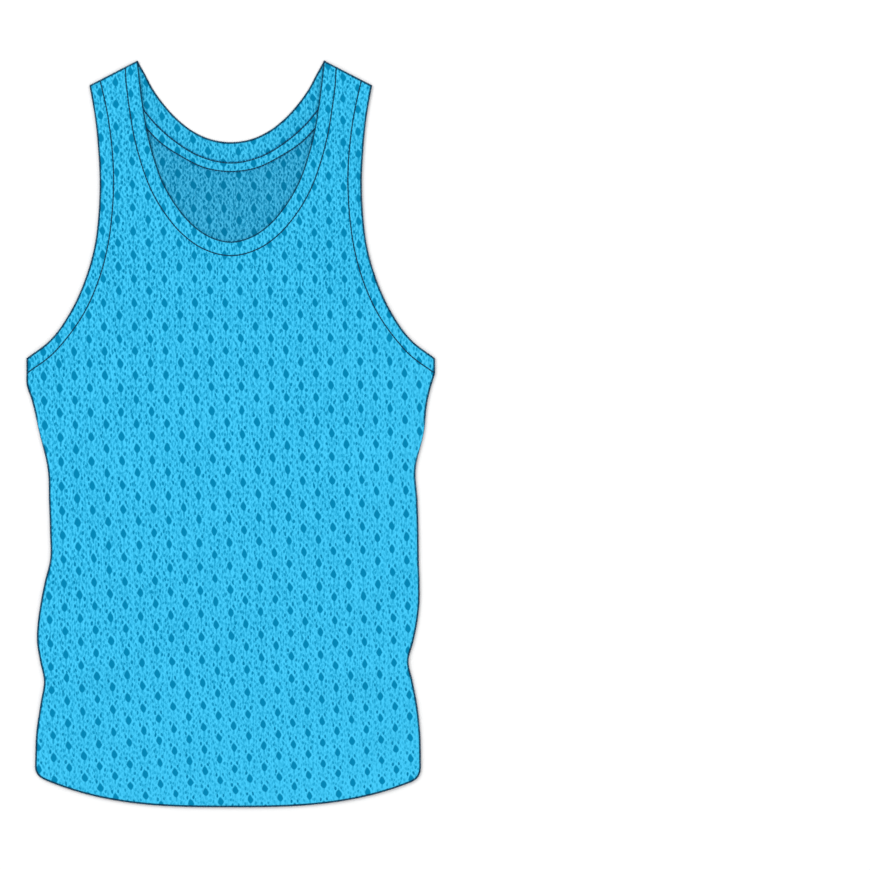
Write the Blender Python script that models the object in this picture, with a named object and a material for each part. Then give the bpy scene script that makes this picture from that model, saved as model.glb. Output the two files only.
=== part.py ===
"""A training bib in mesh cloth, laid flat with its front up.

The back lies on the surface and the front lies on the back. Each is a panel with a
neck band and two armhole bands, and a tape covers the back neck seam on the inside.
Plan positions are in millimetres: x from the centre line, and drop, the distance
below the two neck points. Left is the wearer's left, at +X.
"""

import math
from collections import namedtuple

import bmesh
import bpy
from mathutils import Vector
from mathutils.geometry import delaunay_2d_cdt

MM = 0.001

# Cloth
CLOTH = 1.2  # thickness of the mesh cloth
SEAM_GAP = 0.3  # space between two pieces at a seam
FRONT_LAYER = CLOTH + SEAM_GAP  # height of the front's underside over the surface
BAND_CROWN = 0.6  # how far the middle of a doubled band stands over its edges
TAPE = 1.0  # thickness of the back neck tape

# Overall sizes
LENGTH = 746.0  # neck point to the lowest point of the hem
SHOULDER_TIP_DROP = 24.5
SHOULDER_TIP_HALF = 141.0
NECK_HALF = 93.5
UNDERARM_DROP = 297.5
UNDERARM_HALF = 204.0

# Bands
NECK_BAND = 13.5
BACK_NECK_BAND_DEPTH = 19.5  # at the centre of the back
TAPE_DEPTH = 10.5  # at the centre of the back
SIDE_BAND = 15.0  # length of the armhole band along the side seam

# Hem
HEM_RISE = 27.0  # the hem at HEM_HALF lies this much over its lowest point
HEM_HALF = 185.0
HEM_POWER = 2.9
CORNER = 9.0  # size of the rounded corners between hem and sides

# Spacing of the points in the plan
EDGE_STEP = 9.0
GRID_STEP = 15.0
END_BLEND = 30.0  # length over which a band turns into the seam that it ends on
ACROSS = (0.0, 0.25, 0.5, 0.75, 1.0)  # places across a band

HalfRow = namedtuple("HalfRow", "drop half")
ArmRow = namedtuple("ArmRow", "drop half band")
SideRow = namedtuple("SideRow", "drop right left")
FoldRow = namedtuple("FoldRow", "x drop to_x to_drop height spread")

FRONT_NECK = (
    HalfRow(0.0, NECK_HALF),
    HalfRow(44.5, 88.0),
    HalfRow(72.5, 83.3),
    HalfRow(97.5, 76.7),
    HalfRow(121.5, 68.0),
    HalfRow(145.5, 54.0),
    HalfRow(161.5, 40.7),
    HalfRow(175.0, 22.5),
    HalfRow(181.0, 0.0),
)
BACK_NECK_DEPTH = 81.5
BACK_NECK = (
    HalfRow(0.0, NECK_HALF),
    HalfRow(13.5, 86.0),
    HalfRow(28.5, 78.0),
    HalfRow(40.0, 70.0),
    HalfRow(58.0, 54.0),
    HalfRow(70.5, 38.0),
    HalfRow(78.0, 22.0),
    HalfRow(BACK_NECK_DEPTH, 0.0),
)
BACK_NECK_SEAM_DEPTH = BACK_NECK_DEPTH + BACK_NECK_BAND_DEPTH
BACK_NECK_SEAM = (
    HalfRow(1.0, NECK_HALF + 1.0),
    HalfRow(23.0, 91.8),
    HalfRow(44.0, 89.0),
    HalfRow(62.0, 75.5),
    HalfRow(79.5, 55.8),
    HalfRow(94.5, 30.5),
    HalfRow(BACK_NECK_SEAM_DEPTH, 0.0),
)
# The tape's ends lie under the front neck band.
TAPE_TOP = (
    HalfRow(41.8, 92.0),
    HalfRow(62.0, 75.5),
    HalfRow(79.5, 55.8),
    HalfRow(94.5, 30.5),
    HalfRow(BACK_NECK_SEAM_DEPTH, 0.0),
)
TAPE_FOOT = (
    HalfRow(58.0, 94.0),
    HalfRow(68.3, 84.3),
    HalfRow(82.0, 71.0),
    HalfRow(96.0, 50.0),
    HalfRow(108.0, 25.0),
    HalfRow(BACK_NECK_SEAM_DEPTH + TAPE_DEPTH, 0.0),
)
ARMHOLE = (
    ArmRow(SHOULDER_TIP_DROP, SHOULDER_TIP_HALF, 11.5),
    ArmRow(57.5, 135.3, 12.5),
    ArmRow(89.5, 132.2, 13.5),
    ArmRow(119.5, 130.8, 13.5),
    ArmRow(153.5, 132.0, 13.0),
    ArmRow(185.5, 136.0, 12.5),
    ArmRow(215.5, 144.3, 12.5),
    ArmRow(247.5, 158.2, 12.0),
    ArmRow(279.5, 180.6, 11.0),
    ArmRow(UNDERARM_DROP, UNDERARM_HALF, SIDE_BAND),
)
SIDES = (
    SideRow(322.0, 204.0, 201.0),
    SideRow(340.0, 198.5, 196.5),
    SideRow(370.0, 191.5, 193.0),
    SideRow(410.0, 182.5, 184.5),
    SideRow(440.0, 181.5, 186.5),
    SideRow(470.0, 180.5, 187.5),
    SideRow(500.0, 180.5, 187.8),
    SideRow(520.0, 185.5, 188.5),
    SideRow(540.0, 189.5, 188.5),
    SideRow(560.0, 192.5, 186.5),
    SideRow(580.0, 193.5, 182.5),
    SideRow(600.0, 190.5, 177.5),
    SideRow(620.0, 186.5, 181.5),
    SideRow(640.0, 189.5, 185.5),
    SideRow(670.0, 194.0, 189.0),
    SideRow(706.0, 195.5, 190.0),
)
# Soft ridges in the front, each from a dip of the side seam inwards.
FOLDS = (
    FoldRow(-188.0, 345.0, -112.0, 442.0, 3.6, 15.0),
    FoldRow(189.0, 350.0, 118.0, 452.0, 3.4, 15.0),
    FoldRow(-181.0, 428.0, -60.0, 470.0, 2.8, 13.0),
    FoldRow(184.0, 412.0, 66.0, 486.0, 3.2, 14.0),
    FoldRow(-180.0, 496.0, -44.0, 536.0, 4.2, 15.0),
    FoldRow(187.0, 500.0, 88.0, 556.0, 2.6, 13.0),
    FoldRow(-186.0, 620.0, -50.0, 578.0, 4.4, 16.0),
    FoldRow(177.0, 602.0, 30.0, 634.0, 4.6, 16.0),
    FoldRow(-190.0, 650.0, -84.0, 690.0, 2.8, 13.0),
    FoldRow(187.0, 656.0, 96.0, 700.0, 2.6, 13.0),
)
FOLD_LEAN = 0.75  # below 1 moves a ridge's highest point towards the side seam

# The front rises over the tape's ends: full height within the first distance, none past the second.
TAPE_END = HalfRow(52.0, 90.0)
TAPE_RISE = TAPE + SEAM_GAP
TAPE_RISE_FLAT = 26.0
TAPE_RISE_REACH = 50.0

MESH_BLUE = (0.040, 0.520, 0.860, 1.0)
BAND_BLUE = (0.045, 0.540, 0.880, 1.0)
INSIDE_BLUE = (0.053, 0.352, 0.610, 1.0)


def clear_scene():
    for obj in list(bpy.data.objects):
        bpy.data.objects.remove(obj, do_unlink=True)


def ease(t):
    """Smooth step from 0 to 1."""
    t = min(max(t, 0.0), 1.0)
    return t * t * (3.0 - 2.0 * t)


# ---- curves in the plan ----


def smooth_path(rows, step=EDGE_STEP):
    """A smooth curve through the rows (x, drop, band width), with points about a step apart."""
    knots = [Vector(row) for row in rows]
    spans = [(b.xy - a.xy).length for a, b in zip(knots, knots[1:])]
    slopes = [(b - a) / span for a, b, span in zip(knots, knots[1:], spans)]
    tangents = [slopes[0]]
    for before, after, low, high in zip(slopes, slopes[1:], spans, spans[1:]):
        tangents.append((before * high + after * low) / (low + high))
    tangents.append(slopes[-1])
    path = []
    for index, span in enumerate(spans):
        count = max(1, round(span / step))
        for i in range(count):
            t = i / count
            start = knots[index] * (1 + 2 * t) * (1 - t) ** 2
            end = knots[index + 1] * (3 - 2 * t) * t**2
            out = tangents[index] * span * t * (1 - t) ** 2
            into = tangents[index + 1] * span * (1 - t) * t**2
            path.append(start + end + out - into)
    path.append(knots[-1])
    return path


def resampled(path, count):
    """The same curve with its points evenly spaced."""
    lengths = [0.0]
    for a, b in zip(path, path[1:]):
        lengths.append(lengths[-1] + (b.xy - a.xy).length)
    points = []
    index = 0
    for i in range(count):
        target = lengths[-1] * i / (count - 1)
        while index < len(path) - 2 and lengths[index + 1] < target:
            index += 1
        share = (target - lengths[index]) / (lengths[index + 1] - lengths[index])
        points.append(path[index].lerp(path[index + 1], min(share, 1.0)))
    return points


def across_centre(rows, band=0.0):
    """The curve of a symmetric edge, from the left shoulder round the centre to the right one."""
    left = [(row.half, row.drop, band) for row in rows]
    right = [(-x, drop, width) for x, drop, width in reversed(left[:-1])]
    return smooth_path(left + right)


def armhole_edge(side):
    return smooth_path([(side * row.half, row.drop, row.band) for row in ARMHOLE])


def shoulder_direction(side):
    """Along the shoulder seam, from the neck point to the tip."""
    run = Vector((SHOULDER_TIP_HALF - NECK_HALF, SHOULDER_TIP_DROP)).normalized()
    return Vector((side * run.x, run.y))


def inset(edge, extra, turn, first, last):
    """The seam of a band: its width, plus extra, inside the edge.

    turn is 1 or -1, for the side of the edge that the band lies on. At the ends the
    seam follows the directions first and last, of the seams that the band ends on.
    """
    lengths = [0.0]
    for a, b in zip(edge, edge[1:]):
        lengths.append(lengths[-1] + (b.xy - a.xy).length)
    seam = []
    for index, point in enumerate(edge):
        ahead = edge[min(index + 1, len(edge) - 1)].xy
        behind = edge[max(index - 1, 0)].xy
        run = (ahead - behind).normalized()
        inward = Vector((-run.y, run.x)) * turn
        inward = first.lerp(inward, ease(lengths[index] / END_BLEND))
        inward = last.lerp(inward, ease((lengths[-1] - lengths[index]) / END_BLEND))
        seam.append(point.xy + inward.normalized() * (point.z + extra))
    return seam


def front_neck_seam(extra=0.0):
    edge = across_centre(FRONT_NECK, NECK_BAND)
    return inset(edge, extra, -1, shoulder_direction(1), shoulder_direction(-1))


def back_neck_seam(extra=0.0):
    edge = across_centre(BACK_NECK_SEAM)
    return inset(edge, extra, -1, shoulder_direction(1), shoulder_direction(-1))


def armhole_seam(side, extra=0.0):
    down_the_side = Vector((0.0, 1.0))
    return inset(armhole_edge(side), extra, side, -shoulder_direction(side), down_the_side)


def hem_drop(x):
    return LENGTH - HEM_RISE * (abs(x) / HEM_HALF) ** HEM_POWER


def side_edge(side):
    """From the armhole band down to the hem's corner, with the corner rounded."""
    seam_end = armhole_seam(side, SEAM_GAP)[-1]
    rows = [(row.left if side > 0 else -row.right, row.drop, 0.0) for row in SIDES]
    path = [point.xy for point in smooth_path([(*seam_end, 0.0)] + rows)]
    start = path[-1]
    corner = Vector((start.x, hem_drop(start.x)))
    end_x = start.x - side * CORNER
    end = Vector((end_x, hem_drop(end_x)))
    for t in (0.25, 0.5, 0.75, 1.0):
        path.append(start.lerp(corner, t).lerp(corner.lerp(end, t), t))
    return path


def panel_outline(neck_seam):
    """The closed outline of a panel, inside its neck band and armhole bands."""
    left_side = side_edge(1)
    right_side = side_edge(-1)
    left_end = left_side[-1].x
    right_end = right_side[-1].x
    count = round((left_end - right_end) / EDGE_STEP)
    hem = []
    for i in range(1, count):
        x = right_end + (left_end - right_end) * i / count
        hem.append(Vector((x, hem_drop(x))))
    return (
        neck_seam
        + armhole_seam(-1, SEAM_GAP)[:-1]
        + right_side
        + hem
        + left_side[::-1]
        + armhole_seam(1, SEAM_GAP)[-2::-1]
    )


# ---- heights ----


def back_floor(point):
    return 0.0


def fold_height(point, fold):
    start = Vector((fold.x, fold.drop))
    run = Vector((fold.to_x, fold.to_drop)) - start
    offset = point - start
    share = offset.dot(run) / run.length_squared
    if not 0.0 < share < 1.0:
        return 0.0
    apart = (offset - run * share).length
    along = math.sin(math.pi * share**FOLD_LEAN) ** 2
    return fold.height * along * math.exp(-((apart / fold.spread) ** 2))


def tape_rise(point):
    """How far the front is lifted where an end of the tape lies under it."""
    away = (Vector((abs(point.x), point.y)) - Vector((TAPE_END.half, TAPE_END.drop))).length
    return TAPE_RISE * (1.0 - ease((away - TAPE_RISE_FLAT) / (TAPE_RISE_REACH - TAPE_RISE_FLAT)))


def front_floor(point):
    """Height of the front's underside."""
    lift = max(fold_height(point, fold) for fold in FOLDS)
    return FRONT_LAYER + max(lift, tape_rise(point))


# ---- walls ----


def distance_to(point, outline):
    nearest = math.inf
    for a, b in zip(outline, outline[1:] + outline[:1]):
        run = b - a
        share = min(max((point - a).dot(run) / run.length_squared, 0.0), 1.0)
        nearest = min(nearest, (point - a - run * share).length)
    return nearest


def grid_inside(outline, step):
    """Rows of points that cover the outline's box, each row shifted by half a step."""
    lows = [min(point[axis] for point in outline) for axis in (0, 1)]
    highs = [max(point[axis] for point in outline) for axis in (0, 1)]
    row_step = step * math.sqrt(3.0) / 2.0
    rows = int((highs[1] - lows[1]) / row_step)
    columns = int((highs[0] - lows[0]) / step)
    points = []
    for row in range(rows + 1):
        for column in range(columns + 1):
            x = lows[0] + (column + 0.5 * (row % 2)) * step
            point = Vector((x, lows[1] + row * row_step))
            if distance_to(point, outline) > 0.6 * step:
                points.append(point)
    return points


def sheet_of(outline, step):
    """Points and triangles of a flat sheet; a step of None leaves the inside empty."""
    points = list(outline) + (grid_inside(outline, step) if step else [])
    loop = list(range(len(outline)))
    inside_only = 1
    found = delaunay_2d_cdt(points, [], [loop], inside_only, 1e-6)
    return list(found[0]), [list(face) for face in found[2]]


def strip_of(edge, seam):
    """Points and quads of a sheet between two curves with the same number of points."""
    points = [a.xy.lerp(b.xy, u) for a, b in zip(edge, seam) for u in ACROSS]
    width = len(ACROSS)
    faces = []
    for row in range(len(edge) - 1):
        for column in range(width - 1):
            corner = row * width + column
            faces.append([corner, corner + 1, corner + width + 1, corner + width])
    return points, faces


def wall(name, sheet, floor, thickness, material):
    """A closed wall of cloth over a sheet, from floor(point) up by the thickness of each point."""
    points, faces = sheet
    mesh = bpy.data.meshes.new(name)
    bm = bmesh.new()
    under = []
    for point in points:
        place = (point.x, LENGTH / 2 - point.y, floor(point))
        under.append(bm.verts.new([value * MM for value in place]))
    base = [bm.faces.new([under[i] for i in face]) for face in faces]
    raised = bmesh.ops.extrude_face_region(bm, geom=base)["geom"]
    lift = {tuple(vert.co): height for vert, height in zip(under, thickness)}
    for item in raised:
        if isinstance(item, bmesh.types.BMVert):
            item.co.z += lift[tuple(item.co)] * MM
    bmesh.ops.recalc_face_normals(bm, faces=bm.faces)
    bm.to_mesh(mesh)
    bm.free()
    mesh.shade_smooth()
    mesh.set_sharp_from_angle(angle=math.radians(40.0))
    mesh.materials.append(material)
    obj = bpy.data.objects.new(name, mesh)
    bpy.context.scene.collection.objects.link(obj)
    return obj


def panel(name, neck_seam, floor, step, material):
    sheet = sheet_of(panel_outline(neck_seam), step)
    return wall(name, sheet, floor, [CLOTH] * len(sheet[0]), material)


def band(name, edge, seam, floor, crown, material):
    """A band between its free edge and its seam, thicker along its middle by up to the crown.

    The crown is in proportion where the band narrows to nothing.
    """
    full = max((a.xy - b.xy).length for a, b in zip(edge, seam))
    thickness = []
    for a, b in zip(edge, seam):
        share = (a.xy - b.xy).length / full
        thickness += [CLOTH + crown * share * math.sin(math.pi * u) for u in ACROSS]
    return wall(name, strip_of(edge, seam), floor, thickness, material)


# ---- pieces ----


def cloth_material(name, colour, roughness):
    material = bpy.data.materials.new(name)
    material.use_nodes = True
    shader = material.node_tree.nodes["Principled BSDF"]
    shader.inputs["Base Color"].default_value = colour
    shader.inputs["Roughness"].default_value = roughness
    shader.inputs["Metallic"].default_value = 0.0
    return material


def back_neck_pieces(band_cloth, inside_cloth):
    seam = back_neck_seam()
    edge = resampled(across_centre(BACK_NECK), len(seam))
    seam = resampled(seam, len(seam))
    band("back_neck_band", edge, seam, back_floor, BAND_CROWN, band_cloth)
    top = across_centre(TAPE_TOP)
    foot = resampled(across_centre(TAPE_FOOT), len(top))
    sheet = strip_of(resampled(top, len(top)), foot)
    tape_floor = CLOTH + SEAM_GAP
    wall("back_neck_tape", sheet, lambda point: tape_floor, [TAPE] * len(sheet[0]), inside_cloth)


def front_neck_piece(band_cloth):
    edge = across_centre(FRONT_NECK)
    band("front_neck_band", edge, front_neck_seam(), front_floor, BAND_CROWN, band_cloth)


def armhole_pieces(band_cloth):
    for side_name, side in (("left", 1), ("right", -1)):
        edge = armhole_edge(side)
        seam = armhole_seam(side)
        band("armhole_band_back_" + side_name, edge, seam, back_floor, 0.0, band_cloth)
        band("armhole_band_front_" + side_name, edge, seam, front_floor, BAND_CROWN, band_cloth)


def build():
    clear_scene()
    mesh_cloth = cloth_material("mesh_cloth", MESH_BLUE, 0.75)
    band_cloth = cloth_material("band_cloth", BAND_BLUE, 0.7)
    inside_cloth = cloth_material("inside_cloth", INSIDE_BLUE, 0.8)
    panel("back_panel", back_neck_seam(SEAM_GAP), back_floor, None, mesh_cloth)
    panel("front_panel", front_neck_seam(SEAM_GAP), front_floor, GRID_STEP, mesh_cloth)
    back_neck_pieces(band_cloth, inside_cloth)
    front_neck_piece(band_cloth)
    armhole_pieces(band_cloth)


build()
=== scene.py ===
"""The looks of a training bib: knitted mesh cloth, bands, dark thread and a plain number.

The bib lies flat with its front up, and the front lies on the back. Plan positions are
in millimetres: x from the centre line, and drop, the distance below the two neck points.
Left is the wearer's left, at +X. The net of the cloth is counted in columns and rows of
eyelets, and an eyelet sits wherever the column and the row add up to an even number.
"""

import math
from collections import namedtuple

import bpy
import numpy as np
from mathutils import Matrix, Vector
from mathutils.geometry import delaunay_2d_cdt


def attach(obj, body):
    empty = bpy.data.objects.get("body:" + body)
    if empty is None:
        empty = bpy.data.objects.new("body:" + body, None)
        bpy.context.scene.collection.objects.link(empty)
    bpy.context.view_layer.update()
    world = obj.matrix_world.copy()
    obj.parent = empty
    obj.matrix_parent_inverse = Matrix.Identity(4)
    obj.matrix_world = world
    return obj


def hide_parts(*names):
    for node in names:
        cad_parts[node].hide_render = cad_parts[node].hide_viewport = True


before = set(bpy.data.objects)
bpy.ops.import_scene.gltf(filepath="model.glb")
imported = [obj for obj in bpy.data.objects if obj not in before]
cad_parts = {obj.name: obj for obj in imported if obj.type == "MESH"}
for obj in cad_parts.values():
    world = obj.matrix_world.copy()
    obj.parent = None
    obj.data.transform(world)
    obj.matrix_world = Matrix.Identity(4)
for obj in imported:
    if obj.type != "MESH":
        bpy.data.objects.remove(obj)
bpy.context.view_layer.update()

MM = 0.001

# ---- sizes ----

# Layers
LAYER = 1.5  # height of the front's lowest thread over the surface that the bib lies on
THREAD_ROOM = 0.3  # space for thread under the cloth of a layer
CLOTH = 0.9  # thickness of the mesh cloth
TAPE = 0.8  # thickness of the back neck tape
TAPE_FLOOR = 1.45  # height of the tape's underside
BAND_CROWN = 0.6  # how far the middle of a doubled band stands over its edges
BAND_SHOULDER = 6.0  # distance from a band's edge to its crown
SEAM_GAP = 0.3  # space between two pieces at a seam

# Overall sizes
LENGTH = 746.0  # neck point to the lowest point of the hem
SHOULDER_TIP_DROP = 24.5
SHOULDER_TIP_HALF = 141.0
NECK_HALF = 93.5
UNDERARM_DROP = 297.5
UNDERARM_HALF = 204.0

# Bands
NECK_BAND = 13.5
BACK_NECK_BAND_DEPTH = 19.5  # at the centre of the back
TAPE_DEPTH = 10.5  # at the centre of the back
SIDE_BAND = 15.0  # length of the armhole band along the side seam

# Hem
HEM_RISE = 27.0  # the hem at HEM_HALF lies this much over its lowest point
HEM_HALF = 185.0
HEM_POWER = 2.9
CORNER = 9.0  # size of the rounded corners between hem and sides

EDGE_STEP = 3.0  # spacing of the points along an edge
CORNER_POINTS = 4
END_BLEND = 30.0  # length over which a band turns into the seam that it ends on

HalfRow = namedtuple("HalfRow", "drop half")
ArmRow = namedtuple("ArmRow", "drop half band")
SideRow = namedtuple("SideRow", "drop right left")
FoldRow = namedtuple("FoldRow", "x drop to_x to_drop height spread")
SpotRow = namedtuple("SpotRow", "across down half_width half_length lean tone")


def table(kind, *rows):
    return tuple(kind(*row) for row in rows)


FRONT_NECK = table(
    HalfRow,
    (0.0, NECK_HALF), (44.5, 88.0), (72.5, 83.3), (97.5, 76.7), (121.5, 68.0),
    (145.5, 54.0), (161.5, 40.7), (175.0, 22.5), (181.0, 0.0),
)
BACK_NECK_DEPTH = 81.5
BACK_NECK = table(
    HalfRow,
    (0.0, NECK_HALF), (13.5, 86.0), (28.5, 78.0), (40.0, 70.0), (58.0, 54.0), (70.5, 38.0),
    (78.0, 22.0), (BACK_NECK_DEPTH, 0.0),
)
BACK_NECK_SEAM_DEPTH = BACK_NECK_DEPTH + BACK_NECK_BAND_DEPTH
BACK_NECK_SEAM = table(
    HalfRow,
    (1.0, NECK_HALF + 1.0), (23.0, 91.8), (44.0, 89.0), (62.0, 75.5), (79.5, 55.8),
    (94.5, 30.5), (BACK_NECK_SEAM_DEPTH, 0.0),
)
# The tape's ends lie under the front neck band.
TAPE_TOP = table(
    HalfRow,
    (41.8, 92.0), (62.0, 75.5), (79.5, 55.8), (94.5, 30.5), (BACK_NECK_SEAM_DEPTH, 0.0),
)
TAPE_FOOT = table(
    HalfRow,
    (58.0, 94.0), (68.3, 84.3), (82.0, 71.0), (96.0, 50.0), (108.0, 25.0),
    (BACK_NECK_SEAM_DEPTH + TAPE_DEPTH, 0.0),
)
ARMHOLE = table(
    ArmRow,
    (SHOULDER_TIP_DROP, SHOULDER_TIP_HALF, 11.5), (57.5, 135.3, 12.5), (89.5, 132.2, 13.5),
    (119.5, 130.8, 13.5), (153.5, 132.0, 13.0), (185.5, 136.0, 12.5), (215.5, 144.3, 12.5),
    (247.5, 158.2, 12.0), (279.5, 180.6, 11.0), (UNDERARM_DROP, UNDERARM_HALF, SIDE_BAND),
)
SIDES = table(
    SideRow,
    (322.0, 204.0, 201.0), (340.0, 198.5, 196.5), (370.0, 191.5, 193.0),
    (410.0, 182.5, 184.5), (440.0, 181.5, 186.5), (470.0, 180.5, 187.5),
    (500.0, 180.5, 187.8), (520.0, 185.5, 188.5), (540.0, 189.5, 188.5),
    (560.0, 192.5, 186.5), (580.0, 193.5, 182.5), (600.0, 190.5, 177.5),
    (620.0, 186.5, 181.5), (640.0, 189.5, 185.5), (670.0, 194.0, 189.0),
    (706.0, 195.5, 190.0),
)
# Soft ridges in the front, each from a dip of the side seam inwards.
FOLDS = table(
    FoldRow,
    (-188.0, 345.0, -112.0, 442.0, 3.6, 15.0),
    (189.0, 350.0, 118.0, 452.0, 3.4, 15.0),
    (-181.0, 428.0, -60.0, 470.0, 2.8, 13.0),
    (184.0, 412.0, 66.0, 486.0, 3.2, 14.0),
    (-180.0, 496.0, -44.0, 536.0, 4.2, 15.0),
    (187.0, 500.0, 88.0, 556.0, 2.6, 13.0),
    (-186.0, 620.0, -50.0, 578.0, 4.4, 16.0),
    (177.0, 602.0, 30.0, 634.0, 4.6, 16.0),
    (-190.0, 650.0, -84.0, 690.0, 2.8, 13.0),
    (187.0, 656.0, 96.0, 700.0, 2.6, 13.0),
)
FOLD_LEAN = 0.75  # below 1 moves a ridge's highest point towards the side seam

# The front rises over the tape's ends: fully within the flat distance, not at all past the reach.
TAPE_END = HalfRow(52.0, 90.0)
TAPE_RISE = 1.3
TAPE_RISE_FLAT = 26.0
TAPE_RISE_REACH = 50.0

# The net of the cloth, and how it is pulled out of square where the bib lies
COLUMN_PITCH = 15.08
ROW_PITCH = 12.0
NET_MIDDLE = Vector((-20.0, 278.1))  # the eyelet of column 0 and row 0
COLUMN_DRIFT = 0.19  # each row stands this much to the left of the one above
COLUMN_FAN = 0.0057  # the spacing of the columns shrinks by this much a row, downwards,
COLUMN_SQUEEZE = 0.0157  # and by twice this much a column, towards the left
COLUMN_BOW = 0.0016  # a column's ends stand to the left of its middle
ROW_TILT = 0.084  # each column stands this much above the one to its right
ROW_FAN = 0.0215  # the tilt grows by this much a row, downwards
ROW_STRETCH = 0.0092  # the spacing of the rows grows by twice this much a row, downwards,
ROW_SQUEEZE = 0.0005  # and less and less so
NET_STEPS = 14  # steps that find the column and row of a plan place
COLUMNS = range(-13, 17)
ROWS = range(-25, 43)

# One eyelet: a leaning diamond with rounded sides
EYELET_HALF = 3.1  # half its width
EYELET_TOP = 5.7  # from its widest line up to its point
EYELET_FOOT = 4.5  # from its widest line down
EYELET_POWER = 1.4  # 1 is a diamond and 2 an ellipse
EYELET_LEAN = 0.07
EYELET_EDGE = (1.16, 0.80)  # where its painted shade begins and is full, if 1 is its outline
EYELET_PULL = (1.6, 1.8)  # how far the yarn may pull it, across and down
RIB_START = (1.1, 1.4)  # where the light rib of yarn round it begins and is full,
RIB_END = (2.2, 1.6)  # and where it ends again and is still full
DIMPLE = 0.28  # how far the thin knit inside an eyelet lies under the cloth, on each face
DIMPLE_FLOOR = 0.74  # size of the thin knit against the eyelet's rim
PINHOLE_FLOOR = 0.62  # the same in a pinhole
EYELET_POINTS = 12  # points round a rim
PINHOLE_POINTS = 6
RIM_ROOM = 0.9  # least distance from an eyelet's rim to the edge of its piece
SAME_POINT = 1e-6  # points closer than this count as one
CELL_TOP = -10.4  # each eyelet's surroundings begin this far below its middle

# The holes and slack stitches round each eyelet, charted: place from the eyelet's
# middle, half sizes, lean, and tone from 0, plain knit, to 1, as dark as the eyelet.
# Their tone is painted shade in the holes and slack stitches.
PINHOLES = table(
    SpotRow,
    (-3.4, -7.1, 1.1, 2.1, 0.0, 0.94),
    (2.8, -7.2, 1.05, 2.0, 0.14, 0.88),
)
SLACK_STITCHES = table(
    SpotRow,
    (0.15, 5.7, 1.0, 3.3, 0.0, 0.62),
    (5.2, 4.0, 1.05, 2.0, -0.06, 0.82),
    (-5.5, 4.2, 0.95, 2.1, 0.12, 0.78),
    (4.9, 10.2, 1.05, 1.9, -0.1, 0.82),
    (-5.1, 10.7, 1.05, 1.8, 0.06, 0.80),
    (-2.4, 11.6, 1.0, 1.5, 0.0, 0.68),
    (2.0, 11.2, 0.8, 1.2, 0.0, 0.46),
    (-7.6, 0.0, 1.0, 1.5, 0.0, 0.60),
    (7.5, 12.0, 1.0, 1.5, 0.0, 0.60),
    (-0.1, -10.3, 0.85, 1.8, 0.0, 0.56),
    (-0.1, 13.7, 0.85, 1.8, 0.0, 0.56),
    (4.9, -3.7, 0.75, 2.2, 0.15, 0.60),
)
SPOT_EDGE = (1.4, 0.65)  # where their painted shade begins and is full, if 1 is their outline
SPOT_PULL = (1.8, 2.0)  # how far the yarn may pull them, across and down
PINHOLE_LUCK = 0.3  # share of the tone that chance decides
STITCH_LUCK = 0.5
LUCK_CENTRE = 0.55  # the chance that leaves a tone as it is charted
STITCH_FLOOR = 0.4  # share of a slack stitch's tone that is left in the tightest knit

# How slack the knit is
EVEN_ROW = 16.0  # from this row it grows slacker upwards and tighter downwards,
TIGHT_ROWS = 36.0  # wholly so this many rows away,
TIGHT_COLUMNS = 23.0  # or this many columns away from the middle
SLACKEST = -0.25  # limits of the tightness
TIGHTEST = 0.4

# The grain of the knit
RAGGED_SCALE = 0.14  # of the pattern by which the yarn pulls the holes out of shape
GAPS_ACROSS = 4.0  # columns of small gaps between the stitches, to a column of the net
GAPS_DOWN = 2.0  # rows of them, to a row of the net
GAP_HALF_WIDTH = 0.85
GAP_HALF_LENGTH = 1.7
GAP_EDGE = (1.5, 0.4)  # where their painted shade begins and is full, if 1 is their outline
GAP_PULL = (0.16, 0.25)  # how far the yarn may pull them, in columns and rows
GAP_JITTER = 0.4  # the stretch over which chance moves them up and down, in rows of gaps
GAP_TONE = 0.6
STREAK_GRAIN = (0.80, 0.26, 1.0)  # how fine the streaks are across, and down
STREAK_SHIFT = 2.0  # from a dark streak to the light one beside it
STREAK_RANGE = (-0.24, 0.42)  # where a streak begins and is full, in the pattern's values
STREAK_TONE = 0.60
LONG_STREAK_GRAIN = (0.7, 0.022, 1.0)
LONG_STREAK_RANGE = (0.3, 0.7)
LONG_STREAK_TONE = 0.22
UNEVEN_SCALE = 0.02  # of the broad, faint clouds in the dye
UNEVEN_TONE = 0.16
GRAIN_BASE = -0.145
RIB_TONE = -0.22

# The relief of the knit
WALE_PITCH = 1.26  # spacing of the upright rows of stitches
COURSE_PITCH = 1.0
COURSE_SAG = 0.5  # how far a course hangs between two wales
COURSE_SHARE = 0.6  # of a stitch's height that its course decides
STITCH_RELIEF = 0.22
RIB_RELIEF = 0.25
DEPTH_RELIEF = -0.5
PLAIN_RELIEF = 0.55

# Thread
STITCH = 4.0  # length of a stitch, whose ends lie over its neighbours
STITCH_PITCH = 3.0
STITCH_HALF_WIDTH = 0.82
STITCH_HALF_HEIGHT = 0.26
STITCH_SINK = 0.06  # how far a stitch's middle lies below the face of the cloth
STITCH_SIDES = 8
STITCH_RINGS = 5
TAPE_STITCH_INSET = 1.0  # from an edge of the tape to its row of stitches
LOOP_PITCH = 0.8  # spacing of the loops that bind an edge
LOOP_REACH = 1.75  # from the outermost point of a loop's middle line to its ends
LOOP_PROUD = 0.25  # how far a loop's middle line stands out from the cloth's edge
LOOP_RADIUS = 0.2
LOOP_CLEAR = 0.07  # how far its middle line lies over and under the cloth
LOOP_BENDS = 7  # points along a loop
LOOP_SIDES = 5
NECK_LOOP_REACH = 1.1  # the same round the front neck edge
LOOP_WIDTH = 1.8  # a loop's thread is this many times as wide as it is thick
LOOP_SLANT = 0.28
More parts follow.
